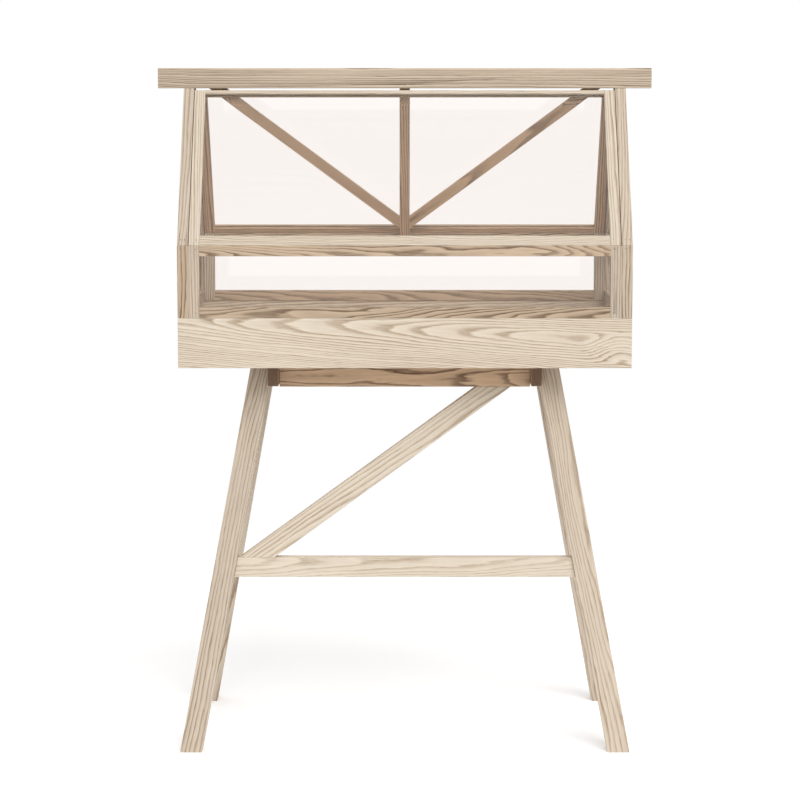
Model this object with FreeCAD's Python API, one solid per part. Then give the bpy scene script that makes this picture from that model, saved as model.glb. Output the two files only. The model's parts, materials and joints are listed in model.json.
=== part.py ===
import FreeCAD, Part
import math
import os

# Cold frame on a splayed stand, in millimetres.
# Origin on the floor under the middle, front towards -Y, +Z up.

# Heights above the floor
overall_height = 1406.0
eave_height = 1048.0
wall_foot_height = 900.0
box_foot_height = 798.0

# Plan sizes
box_length = 922.0
box_depth = 400.0
ridge_overhang = 54.0
ridge_section = 42.0

# Stand
leg_width = 44.9
leg_depth = 38.0
foot_spread_x = 464.0
foot_spread_y = 212.0
head_spread_x = 318.0
head_spread_y = 111.0
stand_rail_thickness = 24.0
long_rail_height = 50.0
cross_rail_height = 44.0
cross_rail_thickness = 22.0
cross_rail_length = 300.0
cross_rail_inner_x = 260.0
stretcher_foot_height = 357.0
stretcher_height = 40.0
brace_width = 41.4
brace_run = 489.8

# Planter box
board_thickness = 20.0
floor_thickness = 12.0

# Framing
frame_stock = 22.0
rafter_width = 28.0
lid_thickness = 18.0
lid_bottom_rail_width = 22.5
lid_top_rail_face = 8.0
glass_thickness = 4.0
groove_depth = 5.0

# Truss behind the rear panel's inner face
truss_post_width = 21.6
truss_thickness = 18.0
truss_brace_level_width = 37.5
truss_meet_height = 1065.5
truss_head_x = 391.6
truss_foot_drop = 18.0
truss_head_depth = 11.5

# Hardware
pivot_radius = 2.5
pivot_reach = 14.0
pivot_drop = 7.0
brad_radius = 0.9
brad_length = 13.0
brad_pitch = 8.0
brad_edge = 7.0
brad_end = 8.0
brad_lid_rise = 13.0
ridge_brad_rise = 6.5
brad_stagger = 2.5

# Clearances
lid_top_gap = 4.0
lid_side_gap = 1.3
glass_play = 1.0
pivot_running_clearance = 0.06
pivot_seat_clearance = 0.02
brad_clearance = 0.03
truss_lid_clearance = 0.5
brace_leg_gap = 5.429

# Derived sizes
half_length = box_length / 2
half_depth = box_depth / 2
end_inner_x = half_length - frame_stock
ridge_foot_height = overall_height - ridge_section
half_ridge = ridge_section / 2
roof_rise = ridge_foot_height - eave_height
roof_tan = (half_depth - half_ridge) / roof_rise
roof_angle = math.atan(roof_tan)
roof_sin = math.sin(roof_angle)
roof_cos = math.cos(roof_angle)
lid_top_height = ridge_foot_height - lid_top_gap
lid_side_x = end_inner_x - lid_side_gap
lid_stile_inner_x = lid_side_x - frame_stock
lid_slope_length = (lid_top_height - eave_height) / roof_cos
leg_lean_x = (foot_spread_x - head_spread_x) / box_foot_height
leg_lean_y = (foot_spread_y - head_spread_y) / box_foot_height
cross_rail_outer_x = cross_rail_inner_x + cross_rail_thickness
long_rail_foot_height = box_foot_height - long_rail_height
stretcher_top_height = stretcher_foot_height + stretcher_height
pivot_height = lid_top_height - pivot_drop
pivot_depth = lid_thickness / 2
pivot_slope = (pivot_height - eave_height + pivot_depth * roof_sin) / roof_cos

FRONT = -1
REAR = 1
LEFT = -1
RIGHT = 1
X_AXIS = FreeCAD.Vector(1, 0, 0)
Y_AXIS = FreeCAD.Vector(0, 1, 0)


def extruded(corners, travel):
    wire = Part.makePolygon(corners + [corners[0]])
    return Part.Face(wire).extrude(travel)


def block(x0, x1, y0, y1, z0, z1):
    corner = FreeCAD.Vector(min(x0, x1), min(y0, y1), min(z0, z1))
    return Part.makeBox(abs(x1 - x0), abs(y1 - y0), abs(z1 - z0), corner)


def along_x(profile, x0, x1):
    corners = [FreeCAD.Vector(x0, y, z) for y, z in profile]
    return extruded(corners, FreeCAD.Vector(x1 - x0, 0, 0))


def along_y(outline, y0, y1):
    corners = [FreeCAD.Vector(x, y0, z) for x, z in outline]
    return extruded(corners, FreeCAD.Vector(0, y1 - y0, 0))


def cut_all(shape, tools):
    for tool in tools:
        shape = shape.cut(tool)
    return shape


def side_name(side, low, high):
    return low if side < 0 else high


# Stand

def leg_plane_y(z):
    return foot_spread_y - leg_depth / 2 - leg_lean_y * z


def leg_inner_x(z):
    return foot_spread_x - leg_width - leg_lean_x * z


def in_leg_plane(outline, thickness, side):
    corners = []
    for x, z in outline:
        y = side * leg_plane_y(z) - thickness / 2
        corners.append(FreeCAD.Vector(x, y, z))
    return extruded(corners, FreeCAD.Vector(0, thickness, 0))


def cross_rail(side):
    x0 = side * cross_rail_inner_x
    x1 = side * cross_rail_outer_x
    half = cross_rail_length / 2
    return block(x0, x1, -half, half, box_foot_height - cross_rail_height, box_foot_height)


def leg(side_x, side_y):
    outline = [
        (side_x * foot_spread_x, 0),
        (side_x * head_spread_x, box_foot_height),
        (side_x * leg_inner_x(box_foot_height), box_foot_height),
        (side_x * leg_inner_x(0), 0),
    ]
    return in_leg_plane(outline, leg_depth, side_y).cut(cross_rail(side_x))


def long_rail(side):
    middle = side * leg_plane_y(long_rail_foot_height)
    half = stand_rail_thickness / 2
    return block(
        -cross_rail_inner_x, cross_rail_inner_x,
        middle - half, middle + half,
        long_rail_foot_height, box_foot_height,
    )


def stretcher():
    low = leg_inner_x(stretcher_foot_height)
    high = leg_inner_x(stretcher_top_height)
    outline = [
        (-low, stretcher_foot_height),
        (low, stretcher_foot_height),
        (high, stretcher_top_height),
        (-high, stretcher_top_height),
    ]
    return in_leg_plane(outline, stand_rail_thickness, FRONT)


def diagonal_brace():
    rise = long_rail_foot_height - stretcher_top_height
    level_width = brace_width / math.sin(math.atan2(rise, brace_run))
    foot_x = brace_leg_gap - leg_inner_x(stretcher_top_height)
    head_x = foot_x + brace_run
    outline = [
        (foot_x, stretcher_top_height),
        (foot_x + level_width, stretcher_top_height),
        (head_x + level_width, long_rail_foot_height),
        (head_x, long_rail_foot_height),
    ]
    return in_leg_plane(outline, stand_rail_thickness, FRONT)


def stand():
    parts = {}
    for side_x in (LEFT, RIGHT):
        hand = side_name(side_x, "left", "right")
        parts["cross_rail_" + hand] = cross_rail(side_x)
        for side_y in (FRONT, REAR):
            end = side_name(side_y, "front", "rear")
            parts["leg_" + end + "_" + hand] = leg(side_x, side_y)
    parts["long_rail_front"] = long_rail(FRONT)
    parts["long_rail_rear"] = long_rail(REAR)
    parts["stretcher"] = stretcher()
    parts["diagonal_brace"] = diagonal_brace()
    return parts


# Planter box

def planter_box():
    inner_y = half_depth - board_thickness
    inner_x = half_length - board_thickness
    parts = {}
    for side in (FRONT, REAR):
        name = "box_board_" + side_name(side, "front", "rear")
        parts[name] = block(
            -half_length, half_length,
            side * inner_y, side * half_depth,
            box_foot_height, wall_foot_height,
        )
    for side in (LEFT, RIGHT):
        name = "box_board_" + side_name(side, "left", "right")
        parts[name] = block(
            side * inner_x, side * half_length,
            -inner_y, inner_y,
            box_foot_height, wall_foot_height,
        )
    parts["floor_panel"] = block(
        -inner_x, inner_x, -inner_y, inner_y,
        box_foot_height, box_foot_height + floor_thickness,
    )
    return parts


# Brads

def brad_points():
    """Places of the brads in vertical faces: x, z and the side they are driven from."""
    stile_x = end_inner_x - frame_stock + brad_edge
    points = []
    for side_y in (FRONT, REAR):
        for side_x in (LEFT, RIGHT):
            points.append((side_x * stile_x, eave_height - brad_end, side_y))
            points.append((side_x * stile_x, wall_foot_height + brad_end + brad_stagger, side_y))
            for step in (0, 1):
                x = end_inner_x + brad_edge + step * brad_pitch
                points.append((side_x * x, eave_height - brad_end + brad_stagger, side_y))
    return points


def wall_brads(radius):
    brads = []
    for x, z, side in brad_points():
        start = FreeCAD.Vector(x, side * half_depth, z)
        direction = FreeCAD.Vector(0, -side, 0)
        brads.append(Part.makeCylinder(radius, brad_length, start, direction))
    return brads


def ridge_brad(radius):
    start = FreeCAD.Vector(0, -half_ridge, ridge_foot_height + ridge_brad_rise)
    return Part.makeCylinder(radius, brad_length, start, Y_AXIS)


def roof_brad(x, side, radius):
    y, z = roof_point(brad_lid_rise, 0)
    start = FreeCAD.Vector(x, side * y, z)
    direction = FreeCAD.Vector(0, -side * roof_cos, -roof_sin)
    return Part.makeCylinder(radius, brad_length, start, direction)


def rafter_brads(side_x, side_y, radius):
    brads = []
    for step in (0, 1):
        x = side_x * (end_inner_x + brad_edge + step * brad_pitch)
        brads.append(roof_brad(x, side_y, radius))
    return brads


def lid_brads(side_y, radius):
    x = lid_stile_inner_x + brad_edge
    return [roof_brad(hand * x, side_y, radius) for hand in (LEFT, RIGHT)]


# Low glazed walls, front and rear

def wall_pocket(play):
    """Room for a wall pane; it stands on the groove in the bottom rail."""
    x = end_inner_x - frame_stock + groove_depth - play
    z0 = wall_foot_height + frame_stock - groove_depth
    z1 = eave_height - frame_stock + groove_depth - play
    middle = half_depth - frame_stock / 2
    half = glass_thickness / 2
    return block(-x, x, middle - half, middle + half, z0, z1)


def low_wall(side):
    name = "wall_" + side_name(side, "front", "rear")
    outer = side * half_depth
    inner = side * (half_depth - frame_stock)
    stile_x = end_inner_x - frame_stock
    turn = 0 if side > 0 else 180
    pocket = wall_pocket(0)
    pane = wall_pocket(glass_play)
    for shape in (pocket, pane):
        shape.rotate(FreeCAD.Vector(0, 0, 0), FreeCAD.Vector(0, 0, 1), turn)
    holes = wall_brads(brad_radius + brad_clearance)
    parts = {}
    rail = block(-stile_x, stile_x, outer, inner, wall_foot_height, wall_foot_height + frame_stock)
    parts[name + "_bottom_rail"] = rail.cut(pocket)
    rail = block(-stile_x, stile_x, outer, inner, eave_height - frame_stock, eave_height)
    parts[name + "_top_rail"] = rail.cut(pocket)
    for hand in (LEFT, RIGHT):
        stile = block(
            hand * stile_x, hand * end_inner_x, outer, inner, wall_foot_height, eave_height
        )
        stile = cut_all(stile, [pocket] + holes)
        parts[name + "_stile_" + side_name(hand, "left", "right")] = stile
    parts[name + "_glass"] = pane
    return parts


# Glazed end frames

def roof_point(slope, depth):
    """Distance up the roof from the eave and depth under its outer face, as y and z."""
    y = half_depth - slope * roof_sin - depth * roof_cos
    z = eave_height + slope * roof_cos - depth * roof_sin
    return y, z


def roof_y_at(z, depth):
    return half_depth - depth / roof_cos - (z - eave_height) * roof_tan


def roof_z_at(y, depth):
    return eave_height + (half_depth - depth / roof_cos - y) / roof_tan


def end_lower_pocket(side, play):
    y = half_depth - frame_stock + groove_depth - play
    z0 = wall_foot_height + frame_stock - groove_depth
    z1 = eave_height - frame_stock + groove_depth - play
    middle = side * (end_inner_x + frame_stock / 2)
    half = glass_thickness / 2
    return block(middle - half, middle + half, -y, y, z0, z1)


def end_upper_pocket(side, play):
    depth = rafter_width - groove_depth + play
    z0 = eave_height - groove_depth
    y0 = roof_y_at(z0, depth)
    profile = [(-y0, z0), (y0, z0), (0, roof_z_at(0, depth))]
    middle = side * (end_inner_x + frame_stock / 2)
    half = glass_thickness / 2
    return along_x(profile, middle - half, middle + half)


def pivot_pin(side, radius, reach_in, reach_out):
    y, z = roof_point(pivot_slope, pivot_depth)
    x0 = side * (lid_side_x - reach_in)
    start = FreeCAD.Vector(x0, FRONT * y, z)
    length = reach_in + lid_side_gap + reach_out
    return Part.makeCylinder(radius, length, start, FreeCAD.Vector(side, 0, 0))


def rafter(side_x, side_y):
    profile = [
        (half_depth, eave_height),
        (half_ridge, ridge_foot_height),
        (0, ridge_foot_height),
        (0, roof_z_at(0, rafter_width)),
        (roof_y_at(eave_height, rafter_width), eave_height),
    ]
    profile = [(side_y * y, z) for y, z in profile]
    bar = along_x(profile, side_x * end_inner_x, side_x * half_length)
    tools = [end_upper_pocket(side_x, 0)]
    tools += rafter_brads(side_x, side_y, brad_radius + brad_clearance)
    if side_y == FRONT:
        bore = pivot_radius + pivot_running_clearance
        tools.append(pivot_pin(side_x, bore, 0, pivot_reach + glass_play))
    return cut_all(bar, tools)


def end_frame(side):
    name = "end_" + side_name(side, "left", "right")
    x0 = side * end_inner_x
    x1 = side * half_length
    inner = half_depth - frame_stock
    lower = end_lower_pocket(side, 0)
    upper = end_upper_pocket(side, 0)
    holes = wall_brads(brad_radius + brad_clearance)
    parts = {}
    sill = block(x0, x1, -inner, inner, wall_foot_height, wall_foot_height + frame_stock)
    parts[name + "_sill"] = sill.cut(lower)
    tie = block(x0, x1, -inner, inner, eave_height - frame_stock, eave_height)
    parts[name + "_tie_rail"] = cut_all(tie, [lower, upper])
    for side_y in (FRONT, REAR):
        end = side_name(side_y, "front", "rear")
        post = block(x0, x1, side_y * inner, side_y * half_depth, wall_foot_height, eave_height)
        parts[name + "_post_" + end] = cut_all(post, [lower] + holes)
        parts[name + "_rafter_" + end] = rafter(side, side_y)
    parts[name + "_lower_glass"] = end_lower_pocket(side, glass_play)
    parts[name + "_upper_glass"] = end_upper_pocket(side, glass_play)
    return parts


# Ridge and rear truss

def ridge_beam():
    half = half_length + ridge_overhang
    beam = block(
        -half, half, -half_ridge, half_ridge, ridge_foot_height, overall_height
    )
    return beam.cut(ridge_brad(brad_radius + brad_clearance))


def truss_slab():
    """Profile shared by the truss members, against the rear panel's inner face."""
    inner_wall = half_depth - frame_stock
    back = lid_thickness
    front = lid_thickness + truss_thickness
    head_back = truss_lid_clearance + truss_head_depth
    foot = eave_height - truss_foot_drop
    profile = [
        (head_back, ridge_foot_height),
        (head_back, roof_z_at(head_back, back)),
        (roof_y_at(eave_height, back), eave_height),
        (inner_wall, eave_height),
        (inner_wall, foot),
        (roof_y_at(foot, front), foot),
        (truss_lid_clearance, roof_z_at(truss_lid_clearance, front)),
        (truss_lid_clearance, ridge_foot_height),
    ]
    return along_x(profile, -half_length, half_length)


def truss_post():
    half = truss_post_width / 2
    return truss_slab().common(
        block(-half, half, -half_depth, half_depth, 0, overall_height)
    )


def truss_brace(side):
    half = truss_brace_level_width / 2
    post_side = truss_post_width / 2
    lean = truss_head_x / (ridge_foot_height - truss_meet_height)
    low = truss_meet_height - (half - post_side) / lean
    high = truss_meet_height + (half + post_side) / lean
    outline = [
        (side * post_side, low),
        (side * (truss_head_x + half), ridge_foot_height),
        (side * (truss_head_x - half), ridge_foot_height),
        (side * post_side, high),
    ]
    return truss_slab().common(along_y(outline, -half_depth, half_depth))


def rear_truss():
    return {
        "truss_post": truss_post(),
        "truss_brace_left": truss_brace(LEFT),
        "truss_brace_right": truss_brace(RIGHT),
    }


# Sloping glazed frames: the hinged front lid and the fixed rear panel

def sloping_piece(low, high, top_cut, bottom_cut, side, x0, x1):
    """A bar of the sloping frame between two levels up the slope."""
    outer_low = roof_point(low, 0)
    outer_high = roof_point(high, 0)
    inner_low = roof_point(low, lid_thickness)
    inner_high = roof_point(high, lid_thickness)
    if bottom_cut:
        inner_low = (roof_y_at(eave_height, lid_thickness), eave_height)
    if top_cut:
        inner_high = (roof_y_at(lid_top_height, lid_thickness), lid_top_height)
    profile = [outer_low, outer_high, inner_high, inner_low]
    profile = [(side * y, z) for y, z in profile]
    return along_x(profile, x0, x1)


def sloping_pane(side, play):
    x = lid_stile_inner_x + groove_depth - play
    low = lid_bottom_rail_width - groove_depth
    high = lid_slope_length - lid_top_rail_face + groove_depth - play
    outer = (lid_thickness - glass_thickness) / 2
    inner = outer + glass_thickness
    profile = [
        roof_point(low, outer),
        roof_point(high, outer),
        roof_point(high, inner),
        roof_point(low, inner),
    ]
    profile = [(side * y, z) for y, z in profile]
    return along_x(profile, -x, x)


def sloping_frame(name, side, top_tools, stile_tools):
    pocket = sloping_pane(side, 0)
    holes = lid_brads(side, brad_radius + brad_clearance)
    inner_x = lid_stile_inner_x
    top_foot = lid_slope_length - lid_top_rail_face
    parts = {}
    rail = sloping_piece(0, lid_bottom_rail_width, False, True, side, -inner_x, inner_x)
    parts[name + "_bottom_rail"] = rail.cut(pocket)
    rail = sloping_piece(top_foot, lid_slope_length, True, False, side, -inner_x, inner_x)
    parts[name + "_top_rail"] = cut_all(rail, [pocket] + top_tools)
    for hand in (LEFT, RIGHT):
        stile = sloping_piece(
            0, lid_slope_length, True, True, side, hand * inner_x, hand * lid_side_x
        )
        stile = cut_all(stile, [pocket] + holes + stile_tools)
        parts[name + "_stile_" + side_name(hand, "left", "right")] = stile
    parts[name + "_glass"] = sloping_pane(side, glass_play)
    return parts


def front_lid():
    seat = pivot_radius + pivot_seat_clearance
    bores = [pivot_pin(hand, seat, pivot_reach, 0) for hand in (LEFT, RIGHT)]
    return sloping_frame("lid", FRONT, [], bores)


def rear_panel():
    return sloping_frame("rear_panel", REAR, list(rear_truss().values()), [])


def pivot_pins():
    pins = [
        pivot_pin(hand, pivot_radius, pivot_reach, pivot_reach) for hand in (LEFT, RIGHT)
    ]
    return Part.makeCompound(pins)


def frame_brads():
    brads = wall_brads(brad_radius)
    brads.append(ridge_brad(brad_radius))
    for side_y in (FRONT, REAR):
        for side_x in (LEFT, RIGHT):
            brads += rafter_brads(side_x, side_y, brad_radius)
    brads += lid_brads(REAR, brad_radius)
    return Part.makeCompound(brads)


def cold_frame():
    parts = {}
    parts.update(stand())
    parts.update(planter_box())
    for side in (FRONT, REAR):
        parts.update(low_wall(side))
    for side in (LEFT, RIGHT):
        parts.update(end_frame(side))
    parts["ridge_beam"] = ridge_beam()
    parts.update(rear_truss())
    parts.update(front_lid())
    parts.update(rear_panel())
    parts["lid_pivot_pins"] = pivot_pins()
    parts["lid_brads"] = Part.makeCompound(lid_brads(FRONT, brad_radius))
    parts["frame_brads"] = frame_brads()
    return parts


os.makedirs("parts", exist_ok=True)
for node, shape in cold_frame().items():
    shape.exportStep("parts/" + node + ".step")
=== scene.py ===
import bpy
import bmesh
import json
import math
import random
from mathutils import Matrix, Vector

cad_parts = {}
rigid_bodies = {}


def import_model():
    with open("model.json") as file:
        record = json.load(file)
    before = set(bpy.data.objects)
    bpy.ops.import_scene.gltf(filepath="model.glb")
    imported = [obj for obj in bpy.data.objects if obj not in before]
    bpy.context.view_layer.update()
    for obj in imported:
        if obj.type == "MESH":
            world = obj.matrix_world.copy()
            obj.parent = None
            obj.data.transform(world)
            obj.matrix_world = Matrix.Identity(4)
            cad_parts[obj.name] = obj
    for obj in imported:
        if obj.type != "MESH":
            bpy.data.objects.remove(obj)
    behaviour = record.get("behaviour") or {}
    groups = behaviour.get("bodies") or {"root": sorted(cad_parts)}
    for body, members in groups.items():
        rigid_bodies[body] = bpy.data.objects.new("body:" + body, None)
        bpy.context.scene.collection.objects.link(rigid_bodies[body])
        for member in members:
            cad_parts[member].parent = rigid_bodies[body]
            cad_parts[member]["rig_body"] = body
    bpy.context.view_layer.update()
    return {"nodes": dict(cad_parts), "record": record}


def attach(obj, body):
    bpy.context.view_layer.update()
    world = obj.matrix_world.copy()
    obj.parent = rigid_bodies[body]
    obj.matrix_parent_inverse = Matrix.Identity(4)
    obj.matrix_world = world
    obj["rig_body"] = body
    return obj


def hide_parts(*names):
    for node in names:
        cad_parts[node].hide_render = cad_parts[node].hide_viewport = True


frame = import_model()
cadNodes = frame["nodes"]
print("frame loaded,", len(cadNodes), "nodes")


# helpers that every node tree below uses

def addNode(tree, kind, place=(0, 0), **settings):
    node = tree.nodes.new(kind)
    node.location = place
    for key, value in settings.items():
        setattr(node, key, value)
    return node


def mathNode(tree, operation, first, second=None, place=(0, 0), clamp=False):
    node = addNode(tree, "ShaderNodeMath", place, operation=operation, use_clamp=clamp)
    for socket, value in zip(node.inputs, (first, second)):
        if value is None:
            continue
        if isinstance(value, (int, float)):
            socket.default_value = value
        else:
            tree.links.new(value, socket)
    return node.outputs[0]


def scaledVector(tree, vector, scale, place=(0, 0)):
    node = addNode(tree, "ShaderNodeVectorMath", place, operation="MULTIPLY")
    tree.links.new(vector, node.inputs[0])
    node.inputs[1].default_value = scale
    return node.outputs[0]


def noiseNode(tree, vector, scale, detail=2.0, rough=0.5, place=(0, 0)):
    node = addNode(tree, "ShaderNodeTexNoise", place)
    tree.links.new(vector, node.inputs["Vector"])
    node.inputs["Scale"].default_value = scale
    node.inputs["Detail"].default_value = detail
    node.inputs["Roughness"].default_value = rough
    return node


def rampNode(tree, value, stops, place=(0, 0)):
    node = addNode(tree, "ShaderNodeValToRGB", place)
    elements = node.color_ramp.elements
    while len(elements) < len(stops):
        elements.new(0.5)
    for element, (position, level) in zip(elements, stops):
        element.position = position
        element.color = (level, level, level, 1)
    tree.links.new(value, node.inputs[0])
    return node.outputs[0]


def mixColour(tree, blend, factor, first, second, place=(0, 0)):
    node = addNode(tree, "ShaderNodeMix", place, data_type="RGBA", blend_type=blend)
    for socket, value in ((node.inputs[0], factor), (node.inputs[6], first), (node.inputs[7], second)):
        if isinstance(value, (int, float)):
            socket.default_value = value
        elif isinstance(value, tuple):
            socket.default_value = (*value, 1)
        else:
            tree.links.new(value, socket)
    return node.outputs[2]


def newGroup(name, inputs, outputs):
    group = bpy.data.node_groups.new(name, "ShaderNodeTree")
    for label, kind, value in inputs:
        socket = group.interface.new_socket(name=label, in_out="INPUT", socket_type=kind)
        if value is not None:
            socket.default_value = value
    for label, kind in outputs:
        group.interface.new_socket(name=label, in_out="OUTPUT", socket_type=kind)
    return group, addNode(group, "NodeGroupInput", (-1600, 0)), addNode(group, "NodeGroupOutput", (1400, 0))


# growth rings round a pith line that runs along X, with pores in the early wood
# each triple is how fast a pattern changes along the grain and across it, per metre
ashGrain = {
    "slowWarp": (1.7, 8.0, 8.0),      # wander of the whole ring pattern
    "wobble": (5.5, 38.0, 38.0),      # small waves on each ring
    "knotShape": (0.42, 0.15, 1.0),   # a knot is drawn out along the grain
    "knotSize": 0.045,
    "knotRings": 5.0,
    "fibre": (10.0, 330.0, 330.0),    # fine streaks along the grain
    "pore": (34.0, 900.0, 900.0),     # open pores as short dashes
    "ringUneven": 1.6,                # how much ring widths vary
    # darkness across one ring, from the last late wood to the next
    "ringProfile": [(0.0, 0.45), (0.06, 1.0), (0.25, 0.80), (0.42, 0.24), (0.92, 0.0), (1.0, 0.45)],
    "strength": (2.6, 30.0, 30.0),    # where the rings show more or less
    "tone": (1.3, 9.0, 9.0),          # slow change from paler to browner
    "poreDepth": 0.5,
    "toneDepth": 0.38,
    "poreColour": (0.45, 0.36, 0.28),
    "toneColour": (0.86, 0.78, 0.68),
    "endColour": (0.30, 0.22, 0.15),
    "endDarken": 0.62,                # end grain drinks more oil
    "roughness": (0.50, 0.66),
    "bumpStrength": 0.35,
    "bumpDepth": 0.0006,
    "sheen": 0.35,                    # specular level of the oiled surface
}


def makeGrainGroup():
    group, source, target = newGroup("ashGrain", [
        ("Vector", "NodeSocketVector", None),
        ("Facing", "NodeSocketVector", None),
        ("Light", "NodeSocketColor", (0.7, 0.6, 0.5, 1)),
        ("Dark", "NodeSocketColor", (0.4, 0.3, 0.2, 1)),
        ("Ring Width", "NodeSocketFloat", 0.005),
        ("Swirl", "NodeSocketFloat", 0.02),
        ("Wobble", "NodeSocketFloat", 0.8),
        ("Knot", "NodeSocketVector", (9.0, 9.0, 9.0)),
        ("Contrast", "NodeSocketFloat", 0.8),
    ], [
        ("Color", "NodeSocketColor"),
        ("Roughness", "NodeSocketFloat"),
        ("Height", "NodeSocketFloat"),
    ])
    link = group.links.new
    point = source.outputs["Vector"]

    slowPoint = scaledVector(group, point, ashGrain["slowWarp"], (-1400, 300))
    slow = noiseNode(group, slowPoint, 1.0, 2.0, 0.45, (-1200, 300))
    centred = addNode(group, "ShaderNodeVectorMath", (-1000, 300), operation="SUBTRACT")
    link(slow.outputs["Color"], centred.inputs[0])
    centred.inputs[1].default_value = (0.5, 0.5, 0.5)
    pushed = addNode(group, "ShaderNodeVectorMath", (-850, 300), operation="SCALE")
    link(centred.outputs[0], pushed.inputs[0])
    link(source.outputs["Swirl"], pushed.inputs["Scale"])
    moved = addNode(group, "ShaderNodeVectorMath", (-700, 300), operation="ADD")
    link(point, moved.inputs[0])
    link(pushed.outputs[0], moved.inputs[1])
    across = addNode(group, "ShaderNodeVectorMath", (-550, 300), operation="MULTIPLY")
    link(moved.outputs[0], across.inputs[0])
    across.inputs[1].default_value = (0, 1, 1)
    radius = addNode(group, "ShaderNodeVectorMath", (-400, 300), operation="LENGTH")
    link(across.outputs[0], radius.inputs[0])

    ringWidth = source.outputs["Ring Width"]
    ringCount = mathNode(group, "DIVIDE", radius.outputs["Value"], ringWidth, (-250, 300))
    uneven = addNode(group, "ShaderNodeTexNoise", (-250, 500), noise_dimensions="1D")
    link(mathNode(group, "MULTIPLY", ringCount, 0.33, (-400, 520)), uneven.inputs["W"])
    uneven.inputs["Scale"].default_value = 1.0
    uneven.inputs["Detail"].default_value = 1.0
    unevenShift = mathNode(group, "MULTIPLY", uneven.outputs["Fac"], ashGrain["ringUneven"], (-100, 500))
    wobblePoint = scaledVector(group, point, ashGrain["wobble"], (-1400, 0))
    wobble = noiseNode(group, wobblePoint, 1.0, 3.0, 0.6, (-1200, 0))
    wobbleShift = mathNode(group, "MULTIPLY", wobble.outputs["Fac"], source.outputs["Wobble"], (-1000, 0))
    fromKnot = addNode(group, "ShaderNodeVectorMath", (-1000, 700), operation="SUBTRACT")
    link(point, fromKnot.inputs[0])
    link(source.outputs["Knot"], fromKnot.inputs[1])
    knotReach = addNode(group, "ShaderNodeVectorMath", (-700, 700), operation="LENGTH")
    link(scaledVector(group, fromKnot.outputs[0], ashGrain["knotShape"], (-850, 700)), knotReach.inputs[0])
    knot = addNode(group, "ShaderNodeMapRange", (-550, 700), interpolation_type="SMOOTHERSTEP")
    link(knotReach.outputs["Value"], knot.inputs["Value"])
    knot.inputs["From Min"].default_value = ashGrain["knotSize"]
    knot.inputs["From Max"].default_value = 0.0
    knotShift = mathNode(group, "MULTIPLY", knot.outputs["Result"], ashGrain["knotRings"], (-400, 700))
    waves = mathNode(group, "ADD", wobbleShift, knotShift, (50, 600))
    unevenCount = mathNode(group, "ADD", ringCount, unevenShift, (50, 400))
    phase = mathNode(group, "ADD", unevenCount, waves, (200, 300))
    withinRing = mathNode(group, "FRACT", phase, None, (350, 300))
    early = rampNode(group, withinRing, ashGrain["ringProfile"], (500, 300))
    strengthPoint = scaledVector(group, point, ashGrain["strength"], (-1400, -900))
    strength = noiseNode(group, strengthPoint, 1.0, 1.0, 0.5, (-1200, -900))
    strengthLevel = rampNode(group, strength.outputs["Fac"], [(0.3, 0.45), (0.7, 1.0)], (-1000, -900))
    ringMask = mathNode(group, "MULTIPLY", early, strengthLevel, (700, 300))

    porePoint = scaledVector(group, point, ashGrain["pore"], (-1400, -300))
    pores = noiseNode(group, porePoint, 1.0, 1.0, 0.5, (-1200, -300))
    openPores = rampNode(group, pores.outputs["Fac"], [(0.56, 0.0), (0.66, 1.0)], (-1000, -300))
    poreMask = mathNode(group, "MULTIPLY", openPores, early, (700, 0))
    fibrePoint = scaledVector(group, point, ashGrain["fibre"], (-1400, -600))
    fibre = noiseNode(group, fibrePoint, 1.0, 2.0, 0.6, (-1200, -600))
    fibreLevel = rampNode(group, fibre.outputs["Fac"], [(0.25, 0.90), (0.75, 1.06)], (-1000, -600))
    tonePoint = scaledVector(group, point, ashGrain["tone"], (-1400, -1200))
    tone = noiseNode(group, tonePoint, 1.0, 2.0, 0.5, (-1200, -1200))

    amount = mathNode(group, "MULTIPLY", ringMask, source.outputs["Contrast"], (850, 300), True)
    colour = mixColour(group, "MIX", amount, source.outputs["Light"], source.outputs["Dark"], (1000, 300))
    poreAmount = mathNode(group, "MULTIPLY", poreMask, ashGrain["poreDepth"], (850, 0))
    colour = mixColour(group, "MULTIPLY", poreAmount, colour, ashGrain["poreColour"], (1000, 100))
    colour = mixColour(group, "MULTIPLY", 1.0, colour, fibreLevel, (1100, 0))
    toneAmount = mathNode(group, "MULTIPLY", tone.outputs["Fac"], ashGrain["toneDepth"], (850, -300))
    colour = mixColour(group, "MULTIPLY", toneAmount, colour, ashGrain["toneColour"], (1150, -100))
    facing = addNode(group, "ShaderNodeSeparateXYZ", (-1000, -1500))
    link(source.outputs["Facing"], facing.inputs[0])
    alongGrain = mathNode(group, "ABSOLUTE", facing.outputs[0], None, (-850, -1500))
    ends = rampNode(group, alongGrain, [(0.6, 0.0), (0.85, 1.0)], (-700, -1500))
    endAmount = mathNode(group, "MULTIPLY", ends, ashGrain["endDarken"], (-400, -1500))
    colour = mixColour(group, "MULTIPLY", endAmount, colour, ashGrain["endColour"], (1250, -200))
    link(colour, target.inputs["Color"])

    low, high = ashGrain["roughness"]
    rough = mathNode(group, "MULTIPLY_ADD", ringMask, high - low, (1000, -500))
    rough.node.inputs[2].default_value = low
    link(rough, target.inputs["Roughness"])
    dips = mathNode(group, "MULTIPLY_ADD", poreMask, -0.6, (1000, -700))
    link(mathNode(group, "MULTIPLY", early, -0.35, (850, -700)), dips.node.inputs[2])
    fibreRise = mathNode(group, "MULTIPLY", fibre.outputs["Fac"], 0.25, (850, -900))
    height = mathNode(group, "ADD", dips, fibreRise, (1150, -700))
    link(height, target.inputs["Height"])
    return group


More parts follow.
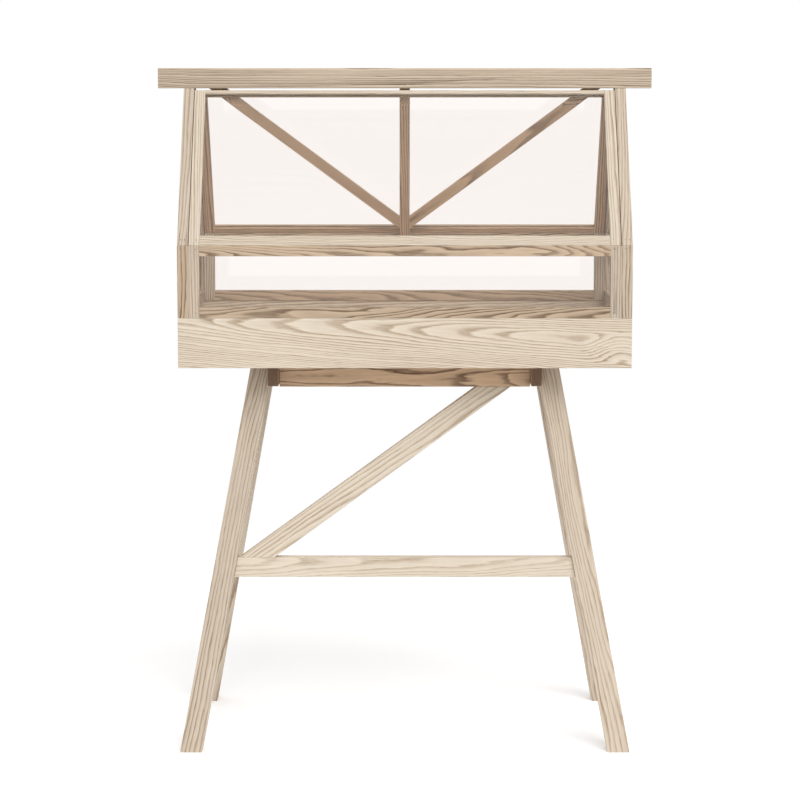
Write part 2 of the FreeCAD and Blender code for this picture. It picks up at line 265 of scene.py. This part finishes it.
# handling wear: edges a touch paler and smoother, with breaks in it
edgeRub = {
    "width": 0.0026,
    "amount": 0.45,
    "smoother": -0.1,                 # change of roughness where the edge is rubbed
    "colour": (0.86, 0.78, 0.67),
}


def makeEdgeGroup():
    group, source, target = newGroup("edgeRub", [
        ("Color", "NodeSocketColor", (0.7, 0.6, 0.5, 1)),
        ("Point", "NodeSocketVector", None),
        ("Width", "NodeSocketFloat", 0.0025),
        ("Amount", "NodeSocketFloat", 0.5),
    ], [("Color", "NodeSocketColor"), ("Mask", "NodeSocketFloat")])
    link = group.links.new
    soft = addNode(group, "ShaderNodeBevel", (-900, 0), samples=4)
    link(source.outputs["Width"], soft.inputs["Radius"])
    flat = addNode(group, "ShaderNodeNewGeometry", (-900, -200))
    compare = addNode(group, "ShaderNodeVectorMath", (-700, 0), operation="DOT_PRODUCT")
    link(soft.outputs["Normal"], compare.inputs[0])
    link(flat.outputs["Normal"], compare.inputs[1])
    edge = rampNode(group, compare.outputs["Value"], [(0.80, 1.0), (0.985, 0.0)], (-500, 0))
    breaks = noiseNode(group, source.outputs["Point"], 42.0, 3.0, 0.6, (-900, -500))
    patchy = rampNode(group, breaks.outputs["Fac"], [(0.38, 0.15), (0.60, 1.0)], (-500, -400))
    broken = mathNode(group, "MULTIPLY", edge, patchy, (-200, 0))
    mask = mathNode(group, "MULTIPLY", broken, source.outputs["Amount"], (0, 0), True)
    rubbed = mixColour(group, "MIX", mask, source.outputs["Color"], edgeRub["colour"], (300, 0))
    link(rubbed, target.inputs["Color"])
    link(mask, target.inputs["Mask"])
    return group


grainGroup = makeGrainGroup()
edgeGroup = makeEdgeGroup()
print("grain and edge groups ready")


# ash tones, light wood and early-wood line
ashTones = {
    "cream": {"light": (0.800, 0.712, 0.588), "dark": (0.360, 0.240, 0.142)},
    "sand": {"light": (0.685, 0.592, 0.482), "dark": (0.290, 0.188, 0.108)},
    "honey": {"light": (0.725, 0.600, 0.464), "dark": (0.180, 0.118, 0.074)},
    "straw": {"light": (0.645, 0.500, 0.358), "dark": (0.145, 0.088, 0.052)},
    # painted shade: a browner tone for the long rail under the box and for the truss and rear panel behind
    # the glass, though they are the same ash as the rest
    "paintedShadeAmber": {"light": (0.765, 0.548, 0.364), "dark": (0.155, 0.086, 0.048)},
    # painted shade: a dark brown tone for the cross rails, which sit in shade under the box
    "paintedShadeUmber": {"light": (0.380, 0.250, 0.165), "dark": (0.140, 0.080, 0.046)},
}


def grainAxes(mesh, cut):
    # turn that lays the piece's length along X, its show face towards Y
    points = [v.co for v in mesh.vertices]
    low = Vector([min(p[i] for p in points) for i in range(3)])
    high = Vector([max(p[i] for p in points) for i in range(3)])
    size = high - low
    if cut.get("slope"):
        along = Vector([size[i] * cut["slope"][i] for i in range(3)]).normalized()
    else:
        i = cut.get("ends", max(range(3), key=lambda k: size[k]))
        near = [p for p in points if p[i] < low[i] + 0.004]
        far = [p for p in points if p[i] > high[i] - 0.004]
        along = (sum(far, Vector()) / len(far) - sum(near, Vector()) / len(near)).normalized()
    runsBack = abs(along.y) > 0.9      # pieces that run front to back show a side face
    face = Vector(cut.get("face", (1, 0, 0) if runsBack else (0, -1, 0)))
    face = (face - along * face.dot(along)).normalized()
    turn = Matrix((along, face, along.cross(face)))
    return turn, (low + high) / 2


def makeAsh(name, mesh, cut):
    dice = random.Random(name)
    tone = ashTones[cut["tone"]]
    turn, middle = grainAxes(mesh, cut)
    tilt = math.radians(cut["tilt"] * cut.get("points", dice.choice((-1, 1))) * dice.uniform(0.8, 1.2))
    skew = math.radians(cut.get("skew", 0.0))
    turn = Matrix.Rotation(skew, 3, "Y") @ Matrix.Rotation(tilt, 3, "Z") @ turn
    depth, aside = cut["pith"]
    side = cut.get("side", dice.choice((-1, 1)))
    shift = Vector((dice.uniform(-3, 3), depth * dice.uniform(0.85, 1.2),
                    aside * side * dice.uniform(0.8, 1.2)))
    place = shift - turn @ middle
    shade = dice.uniform(0.94, 1.05)

    material = bpy.data.materials.new(name)
    material.use_nodes = True
    tree = material.node_tree
    tree.nodes.clear()
    link = tree.links.new
    coords = addNode(tree, "ShaderNodeTexCoord", (-1200, 0))
    points = addNode(tree, "ShaderNodeMapping", (-1000, 100), vector_type="POINT")
    points.inputs["Rotation"].default_value = turn.to_euler("XYZ")
    points.inputs["Location"].default_value = place
    link(coords.outputs["Object"], points.inputs["Vector"])
    facing = addNode(tree, "ShaderNodeMapping", (-1000, -300), vector_type="VECTOR")
    facing.inputs["Rotation"].default_value = turn.to_euler("XYZ")
    link(coords.outputs["Normal"], facing.inputs["Vector"])
    grain = addNode(tree, "ShaderNodeGroup", (-750, 100), node_tree=grainGroup)
    link(points.outputs[0], grain.inputs["Vector"])
    link(facing.outputs[0], grain.inputs["Facing"])
    grain.inputs["Light"].default_value = (*[c * shade for c in tone["light"]], 1)
    grain.inputs["Dark"].default_value = (*[c * shade for c in tone["dark"]], 1)
    grain.inputs["Ring Width"].default_value = cut["ring"]
    grain.inputs["Swirl"].default_value = cut["swirl"]
    grain.inputs["Wobble"].default_value = cut.get("wobble", 0.8)
    if "knot" in cut:
        grain.inputs["Knot"].default_value = turn @ Vector(cut["knot"]) + place
    grain.inputs["Contrast"].default_value = cut["contrast"]
    rub = addNode(tree, "ShaderNodeGroup", (-450, 100), node_tree=edgeGroup)
    link(grain.outputs["Color"], rub.inputs["Color"])
    link(coords.outputs["Object"], rub.inputs["Point"])
    rub.inputs["Width"].default_value = edgeRub["width"]
    rub.inputs["Amount"].default_value = edgeRub["amount"]
    bump = addNode(tree, "ShaderNodeBump", (-450, -300))
    bump.inputs["Strength"].default_value = ashGrain["bumpStrength"]
    bump.inputs["Distance"].default_value = ashGrain["bumpDepth"]
    link(grain.outputs["Height"], bump.inputs["Height"])
    shader = addNode(tree, "ShaderNodeBsdfPrincipled", (-150, 100))
    link(rub.outputs["Color"], shader.inputs["Base Color"])
    rough = mathNode(tree, "MULTIPLY_ADD", rub.outputs["Mask"], edgeRub["smoother"], (-300, -100))
    link(grain.outputs["Roughness"], rough.node.inputs[2])
    link(rough, shader.inputs["Roughness"])
    link(bump.outputs["Normal"], shader.inputs["Normal"])
    shader.inputs["Specular IOR Level"].default_value = ashGrain["sheen"]
    output = addNode(tree, "ShaderNodeOutputMaterial", (150, 100))
    link(shader.outputs[0], output.inputs["Surface"])
    return material


easing = {
    "mergeWithin": 0.00002,
    "flatWithin": math.radians(1),
    "sharpAbove": math.radians(20),
    "shortestEdge": 0.012,
    "segments": 2,
}


def easedTimber(node, cut):
    # merged copy of the sawn piece with its long edges eased
    name = "ash_" + node
    bm = bmesh.new()
    bm.from_mesh(cadNodes[node].data)
    bmesh.ops.remove_doubles(bm, verts=bm.verts, dist=easing["mergeWithin"])
    bmesh.ops.dissolve_limit(bm, angle_limit=easing["flatWithin"], verts=bm.verts, edges=bm.edges)
    corners = [e for e in bm.edges if e.is_manifold and e.is_convex
               and e.calc_face_angle(0) > easing["sharpAbove"]
               and e.calc_length() > easing["shortestEdge"]]
    bmesh.ops.bevel(bm, geom=corners, offset=cut["ease"], offset_type="OFFSET",
                    segments=easing["segments"], profile=0.5, affect="EDGES",
                    clamp_overlap=True, material=-1)
    mesh = bpy.data.meshes.new(name)
    bm.to_mesh(mesh)
    bm.free()
    piece = bpy.data.objects.new(name, mesh)
    bpy.context.scene.collection.objects.link(piece)
    mesh.materials.append(makeAsh(name, mesh, cut))
    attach(piece, cadNodes[node]["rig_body"])
    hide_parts(node)


slotOf = {s["node"]: s["material_slot"] for s in frame["record"]["subparts"]}

# how each kind of timber was sawn, found by the longest name that its node starts with
# ring is the ring width, pith the place of the pith behind and beside the show face, tilt and skew turn the
# pith by degrees, so that arches show and lines slant, swirl and wobble bend the rings, ease rounds the edges
# face is the show face, ends the axis its two ends lie on, slope the way a sloping piece rises
timberCuts = {
    "leg_": {
        "tone": "sand", "ring": 0.0048, "pith": (0.03, 0.036), "tilt": 0.9, "swirl": 0.026,
        "wobble": 2.0, "contrast": 0.82, "ease": 0.0014, "ends": 2,
    },
    # the cross rails take the painted shade tone, dark where the box shades them
    "cross_rail": {
        "tone": "paintedShadeUmber", "ring": 0.0036, "pith": (0.04, 0.03), "tilt": 1.0, "swirl": 0.015,
        "wobble": 1.0, "contrast": 0.9, "ease": 0.0012, "face": (1, 0, 0),
    },
    # the long rail takes the painted shade tone, browner for the shade under the box
    "long_rail": {
        "tone": "paintedShadeAmber", "ring": 0.0026, "pith": (0.03, 0.01), "tilt": 1.6, "swirl": 0.036,
        "wobble": 2.4, "contrast": 1.0, "ease": 0.001,
    },
    "stretcher": {
        "tone": "cream", "ring": 0.0034, "pith": (0.036, 0.012), "tilt": 1.6, "swirl": 0.024,
        "wobble": 1.7, "contrast": 0.55, "ease": 0.0012,
    },
    "diagonal_brace": {
        "tone": "cream", "ring": 0.0042, "pith": (0.03, 0.034), "tilt": 1.0, "swirl": 0.018,
        "wobble": 1.4, "contrast": 0.75, "ease": 0.0012, "ends": 2,
    },
    "box_board": {
        "tone": "cream", "ring": 0.0034, "pith": (0.04, 0.012), "tilt": 2.4, "swirl": 0.026,
        "wobble": 1.6, "contrast": 0.9, "ease": 0.001,
    },
    "box_board_front": {
        "tone": "cream", "ring": 0.0033, "pith": (0.032, 0.026), "tilt": 1.9, "skew": 3.4, "swirl": 0.018,
        "wobble": 1.5, "contrast": 0.82, "ease": 0.001, "points": -1, "side": 1, "knot": (0.448, -0.2, 0.836),
    },
    "floor_panel": {
        "tone": "straw", "ring": 0.006, "pith": (0.05, 0.06), "tilt": 1.6, "swirl": 0.03,
        "contrast": 0.8, "ease": 0.0006, "face": (0, 0, 1),
    },
    "wall_": {
        "tone": "sand", "ring": 0.004, "pith": (0.02, 0.05), "tilt": 0.5, "swirl": 0.014,
        "wobble": 1.3, "contrast": 0.8, "ease": 0.0009, "ends": 2,
    },
    "wall_front_bottom": {
        "tone": "straw", "ring": 0.0021, "pith": (0.028, 0.012), "tilt": 1.3, "swirl": 0.026,
        "wobble": 2.0, "contrast": 1.0, "ease": 0.0009,
    },
    "wall_front_top": {
        "tone": "straw", "ring": 0.0023, "pith": (0.026, 0.008), "tilt": 1.5, "swirl": 0.032,
        "wobble": 2.4, "contrast": 1.0, "ease": 0.0009,
    },
    "wall_rear_bottom": {
        "tone": "straw", "ring": 0.0024, "pith": (0.03, 0.012), "tilt": 1.2, "swirl": 0.024,
        "wobble": 1.5, "contrast": 0.95, "ease": 0.0009,
    },
    "wall_rear_top": {
        "tone": "straw", "ring": 0.0024, "pith": (0.03, 0.012), "tilt": 1.2, "swirl": 0.024,
        "wobble": 1.5, "contrast": 0.95, "ease": 0.0009,
    },
    "end_": {
        "tone": "sand", "ring": 0.0042, "pith": (0.026, 0.03), "tilt": 0.9, "swirl": 0.018,
        "wobble": 1.4, "contrast": 0.85, "ease": 0.0009, "ends": 2,
    },
    "end_left_post": {
        "tone": "straw", "ring": 0.0046, "pith": (0.024, 0.026), "tilt": 1.4, "swirl": 0.02,
        "wobble": 1.8, "contrast": 1.0, "ease": 0.0009, "ends": 2,
    },
    "end_right_post": {
        "tone": "honey", "ring": 0.0046, "pith": (0.024, 0.026), "tilt": 1.4, "swirl": 0.02,
        "wobble": 1.8, "contrast": 0.9, "ease": 0.0009, "ends": 2,
    },
    "end_left_sill": {
        "tone": "honey", "ring": 0.0032, "pith": (0.03, 0.02), "tilt": 1.0, "swirl": 0.018,
        "wobble": 1.2, "contrast": 0.9, "ease": 0.0009, "face": (-1, 0, 0),
    },
    "end_right_sill": {
        "tone": "honey", "ring": 0.0032, "pith": (0.03, 0.02), "tilt": 1.0, "swirl": 0.018,
        "wobble": 1.2, "contrast": 0.9, "ease": 0.0009, "face": (1, 0, 0),
    },
    "end_left_tie": {
        "tone": "honey", "ring": 0.0032, "pith": (0.03, 0.02), "tilt": 1.0, "swirl": 0.018,
        "wobble": 1.2, "contrast": 0.9, "ease": 0.0009, "face": (-1, 0, 0),
    },
    "end_right_tie": {
        "tone": "honey", "ring": 0.0032, "pith": (0.03, 0.02), "tilt": 1.0, "swirl": 0.018,
        "wobble": 1.2, "contrast": 0.9, "ease": 0.0009, "face": (1, 0, 0),
    },
    "ridge_beam": {
        "tone": "honey", "ring": 0.0026, "pith": (0.045, 0.055), "tilt": 0.3, "swirl": 0.012,
        "wobble": 1.3, "contrast": 1.0, "ease": 0.0014,
    },
    # the truss and the rear panel take the painted shade tone, browner for the shade behind the glass
    "truss_brace_left": {
        "tone": "paintedShadeAmber", "ring": 0.0036, "pith": (0.022, 0.026), "tilt": 0.8, "swirl": 0.016,
        "wobble": 1.4, "contrast": 0.9, "ease": 0.0008, "slope": (-1, -1, 1),
    },
    "truss_brace_right": {
        "tone": "paintedShadeAmber", "ring": 0.0036, "pith": (0.022, 0.026), "tilt": 0.8, "swirl": 0.016,
        "wobble": 1.4, "contrast": 0.9, "ease": 0.0008, "slope": (1, -1, 1),
    },
    "truss_post": {
        "tone": "paintedShadeAmber", "ring": 0.0036, "pith": (0.02, 0.026), "tilt": 0.6, "swirl": 0.014,
        "wobble": 1.3, "contrast": 0.9, "ease": 0.0008, "ends": 2,
    },
    "lid_": {
        "tone": "cream", "ring": 0.0023, "pith": (0.028, 0.012), "tilt": 1.2, "swirl": 0.022,
        "wobble": 1.8, "contrast": 0.9, "ease": 0.0008,
    },
    "lid_stile": {
        "tone": "cream", "ring": 0.0042, "pith": (0.022, 0.03), "tilt": 0.8, "swirl": 0.014,
        "wobble": 1.3, "contrast": 0.8, "ease": 0.0008, "ends": 2,
    },
    "rear_panel": {
        "tone": "paintedShadeAmber", "ring": 0.0026, "pith": (0.028, 0.012), "tilt": 1.2, "swirl": 0.022,
        "wobble": 1.6, "contrast": 0.9, "ease": 0.0008,
    },
    "rear_panel_stile": {
        "tone": "paintedShadeAmber", "ring": 0.0042, "pith": (0.022, 0.03), "tilt": 0.8, "swirl": 0.014,
        "wobble": 1.3, "contrast": 0.85, "ease": 0.0008, "ends": 2,
    },
}


def cutFor(node):
    return timberCuts[max((k for k in timberCuts if node.startswith(k)), key=len)]


def sawTimber():
    count = 0
    for node in sorted(cadNodes):
        if slotOf[node].startswith("ash"):
            easedTimber(node, cutFor(node))
            count += 1
    print("timber pieces eased:", count)


# clear float glass, faintly smeared
paneGlass = {
    "tint": (1.0, 0.973, 0.957),
    "ior": 1.45,
    "smear": (0.0, 0.035),             # roughness of the clean and the smeared glass
    "wipe": (3, 9, 22),                # how fast the wiping marks change, per metre
    "shadowTint": (0.95, 0.95, 0.94),
    "rippleStrength": 0.04,
    "rippleDepth": 0.002,
}


def makeSmearGroup():
    group, source, target = newGroup("paneSmear", [
        ("Point", "NodeSocketVector", None),
        ("Clean", "NodeSocketFloat", 0.0),
        ("Smeared", "NodeSocketFloat", 0.05),
    ], [("Roughness", "NodeSocketFloat"), ("Height", "NodeSocketFloat")])
    link = group.links.new
    wipePoint = scaledVector(group, source.outputs["Point"], paneGlass["wipe"], (-900, 0))
    wipe = noiseNode(group, wipePoint, 1.0, 4.0, 0.6, (-700, 0))
    marks = rampNode(group, wipe.outputs["Fac"], [(0.50, 0.0), (0.74, 1.0)], (-500, 0))
    span = mathNode(group, "SUBTRACT", source.outputs["Smeared"], source.outputs["Clean"], (-500, -200))
    rough = mathNode(group, "MULTIPLY_ADD", marks, span, (-200, 0))
    link(source.outputs["Clean"], rough.node.inputs[2])
    link(rough, target.inputs["Roughness"])
    ripple = noiseNode(group, source.outputs["Point"], 5.0, 1.0, 0.5, (-700, -400))
    link(ripple.outputs["Fac"], target.inputs["Height"])
    return group


def makeGlass(name):
    material = bpy.data.materials.new(name)
    material.use_nodes = True
    tree = material.node_tree
    tree.nodes.clear()
    link = tree.links.new
    coords = addNode(tree, "ShaderNodeTexCoord", (-900, 0))
    smear = addNode(tree, "ShaderNodeGroup", (-700, 0), node_tree=smearGroup)
    link(coords.outputs["Object"], smear.inputs["Point"])
    smear.inputs["Clean"].default_value, smear.inputs["Smeared"].default_value = paneGlass["smear"]
    bump = addNode(tree, "ShaderNodeBump", (-450, -200))
    bump.inputs["Strength"].default_value = paneGlass["rippleStrength"]
    bump.inputs["Distance"].default_value = paneGlass["rippleDepth"]
    link(smear.outputs["Height"], bump.inputs["Height"])
    glass = addNode(tree, "ShaderNodeBsdfPrincipled", (-200, 100))
    glass.inputs["Base Color"].default_value = (*paneGlass["tint"], 1)
    glass.inputs["IOR"].default_value = paneGlass["ior"]
    glass.inputs["Transmission Weight"].default_value = 1.0
    link(smear.outputs["Roughness"], glass.inputs["Roughness"])
    link(bump.outputs["Normal"], glass.inputs["Normal"])
    clear = addNode(tree, "ShaderNodeBsdfTransparent", (-200, -300))
    clear.inputs["Color"].default_value = (*paneGlass["shadowTint"], 1)
    path = addNode(tree, "ShaderNodeLightPath", (-200, 500))
    mix = addNode(tree, "ShaderNodeMixShader", (100, 100))
    link(path.outputs["Is Shadow Ray"], mix.inputs[0])
    link(glass.outputs[0], mix.inputs[1])
    link(clear.outputs[0], mix.inputs[2])
    output = addNode(tree, "ShaderNodeOutputMaterial", (300, 100))
    link(mix.outputs[0], output.inputs["Surface"])
    return material


# small steel: brad heads gone brown, pins brighter
smallSteel = {
    "brads": {
        "bright": (0.150, 0.118, 0.095), "dull": (0.070, 0.050, 0.038),
        "roughness": 0.55, "metallic": 0.6,
    },
    "pins": {
        "bright": (0.50, 0.49, 0.47), "dull": (0.30, 0.28, 0.26),
        "roughness": 0.34, "metallic": 1.0,
    },
}


def makeSteel(name, look):
    material = bpy.data.materials.new(name)
    material.use_nodes = True
    tree = material.node_tree
    tree.nodes.clear()
    link = tree.links.new
    coords = addNode(tree, "ShaderNodeTexCoord", (-900, 0))
    spots = noiseNode(tree, coords.outputs["Object"], 900.0, 3.0, 0.6, (-700, 0))
    level = rampNode(tree, spots.outputs["Fac"], [(0.35, 0.0), (0.65, 1.0)], (-500, 0))
    shader = addNode(tree, "ShaderNodeBsdfPrincipled", (0, 0))
    colour = mixColour(tree, "MIX", level, look["dull"], look["bright"], (-250, 100))
    link(colour, shader.inputs["Base Color"])
    rough = mathNode(tree, "MULTIPLY_ADD", level, -0.12, (-250, -100))
    rough.node.inputs[2].default_value = look["roughness"]
    link(rough, shader.inputs["Roughness"])
    shader.inputs["Metallic"].default_value = look["metallic"]
    bump = addNode(tree, "ShaderNodeBump", (-250, -300))
    bump.inputs["Strength"].default_value = 0.2
    bump.inputs["Distance"].default_value = 0.0002
    link(spots.outputs["Fac"], bump.inputs["Height"])
    link(bump.outputs["Normal"], shader.inputs["Normal"])
    output = addNode(tree, "ShaderNodeOutputMaterial", (250, 0))
    link(shader.outputs[0], output.inputs["Surface"])
    return material


def dressNodes():
    bradSteel = makeSteel("bradSteel", smallSteel["brads"])
    pinSteel = makeSteel("pinSteel", smallSteel["pins"])
    paneMaterial = makeGlass("clearPane")
    looks = {"clear_glass": paneMaterial, "brad_steel": bradSteel, "pin_steel": pinSteel}
    for node, piece in cadNodes.items():
        if slotOf[node] in looks:
            piece.data.materials.clear()
            piece.data.materials.append(looks[slotOf[node]])
    print("glass and steel in place")


smearGroup = makeSmearGroup()
sawTimber()
dressNodes()


# plain pale studio
studio = {
    "floorSize": 9.0,
    "floorColour": (0.93, 0.93, 0.93),
    "floorLift": 0.20,
    "floorFade": (1.1, 2.2),          # distance from the middle where the floor melts into the backdrop
    "roomLevel": 0.62,
    "suns": {
        "frontSun": {"from": (0.9, -2.0, 2.3), "strength": 1.75, "softness": 0.75},
        "backSun": {"from": (-1.3, 1.8, 1.3), "strength": 0.55, "softness": 1.3},
    },
}


# 1 where the backdrop is looked at, straight or by way of glass and gloss
def whiteForSight(tree, place=(0, 0)):
    path = addNode(tree, "ShaderNodeLightPath", place)
    camera, glossy = path.outputs["Is Camera Ray"], path.outputs["Is Glossy Ray"]
    seen = mathNode(tree, "MAXIMUM", camera, glossy, (place[0] + 200, place[1]))
    return mathNode(tree, "MAXIMUM", seen, path.outputs["Is Transmission Ray"], (place[0] + 400, place[1]))


def makeFloor():
    bm = bmesh.new()
    bmesh.ops.create_grid(bm, x_segments=1, y_segments=1, size=studio["floorSize"] / 2)
    mesh = bpy.data.meshes.new("studioFloor")
    bm.to_mesh(mesh)
    bm.free()
    floor = bpy.data.objects.new("studioFloor", mesh)
    bpy.context.scene.collection.objects.link(floor)
    material = bpy.data.materials.new("paleFloor")
    material.use_nodes = True
    tree = material.node_tree
    tree.nodes.clear()
    link = tree.links.new
    paint = addNode(tree, "ShaderNodeBsdfDiffuse", (0, 100))
    paint.inputs["Color"].default_value = (*studio["floorColour"], 1)
    lift = addNode(tree, "ShaderNodeEmission", (0, -100))
    seen = whiteForSight(tree, (-900, -100))
    lifted = mathNode(tree, "MULTIPLY", seen, studio["floorLift"], (-200, -100))
    link(lifted, lift.inputs["Strength"])
    both = addNode(tree, "ShaderNodeAddShader", (250, 0))
    link(paint.outputs[0], both.inputs[0])
    link(lift.outputs[0], both.inputs[1])
    coords = addNode(tree, "ShaderNodeTexCoord", (-900, 400))
    reach = addNode(tree, "ShaderNodeVectorMath", (-700, 400), operation="LENGTH")
    link(coords.outputs["Object"], reach.inputs[0])
    fade = addNode(tree, "ShaderNodeMapRange", (-500, 400), interpolation_type="SMOOTHSTEP")
    link(reach.outputs["Value"], fade.inputs["Value"])
    fade.inputs["From Min"].default_value, fade.inputs["From Max"].default_value = studio["floorFade"]
    clear = addNode(tree, "ShaderNodeBsdfTransparent", (250, 200))
    melt = addNode(tree, "ShaderNodeMixShader", (450, 0))
    link(fade.outputs["Result"], melt.inputs[0])
    link(both.outputs[0], melt.inputs[1])
    link(clear.outputs[0], melt.inputs[2])
    output = addNode(tree, "ShaderNodeOutputMaterial", (650, 0))
    link(melt.outputs[0], output.inputs["Surface"])
    mesh.materials.append(material)


def makeRoomLight():
    world = bpy.data.worlds.new("studioRoom")
    world.use_nodes = True
    tree = world.node_tree
    tree.nodes.clear()
    soft = addNode(tree, "ShaderNodeBackground", (0, 100))
    soft.inputs["Color"].default_value = (1, 1, 1, 1)
    soft.inputs["Strength"].default_value = studio["roomLevel"]
    white = addNode(tree, "ShaderNodeBackground", (0, -100))
    white.inputs["Color"].default_value = (1, 1, 1, 1)
    white.inputs["Strength"].default_value = 1.0
    mix = addNode(tree, "ShaderNodeMixShader", (250, 0))
    tree.links.new(whiteForSight(tree, (-800, 300)), mix.inputs[0])
    tree.links.new(soft.outputs[0], mix.inputs[1])
    tree.links.new(white.outputs[0], mix.inputs[2])
    output = addNode(tree, "ShaderNodeOutputWorld", (450, 0))
    tree.links.new(mix.outputs[0], output.inputs["Surface"])
    bpy.context.scene.world = world


def hangSuns():
    for name, sun in studio["suns"].items():
        data = bpy.data.lights.new(name, "SUN")
        data.energy = sun["strength"]
        data.angle = sun["softness"]
        light = bpy.data.objects.new(name, data)
        light.visible_glossy = False
        light.visible_transmission = False
        light.location = sun["from"]
        light.rotation_euler = Vector(sun["from"]).to_track_quat("Z", "Y").to_euler()
        bpy.context.scene.collection.objects.link(light)


# long lens, level with the ridge and tipped down a little
cameraSetting = {
    "at": (-0.0099, -4.660, 1.362),
    "tipDown": 5.957,
    "lens": 99.5,
    "shift": (0.0, -0.10),
}


def setCamera():
    data = bpy.data.cameras.new("studioCamera")
    data.lens = cameraSetting["lens"]
    data.sensor_width = 36.0
    data.shift_x, data.shift_y = cameraSetting["shift"]
    data.clip_end = 60.0
    camera = bpy.data.objects.new("studioCamera", data)
    camera.location = cameraSetting["at"]
    camera.rotation_euler = (math.radians(90 - cameraSetting["tipDown"]), 0, 0)
    bpy.context.scene.collection.objects.link(camera)
    bpy.context.scene.camera = camera


makeFloor()
makeRoomLight()
hangSuns()
setCamera()
bpy.context.scene.view_settings.view_transform = "Standard"
print("studio set")
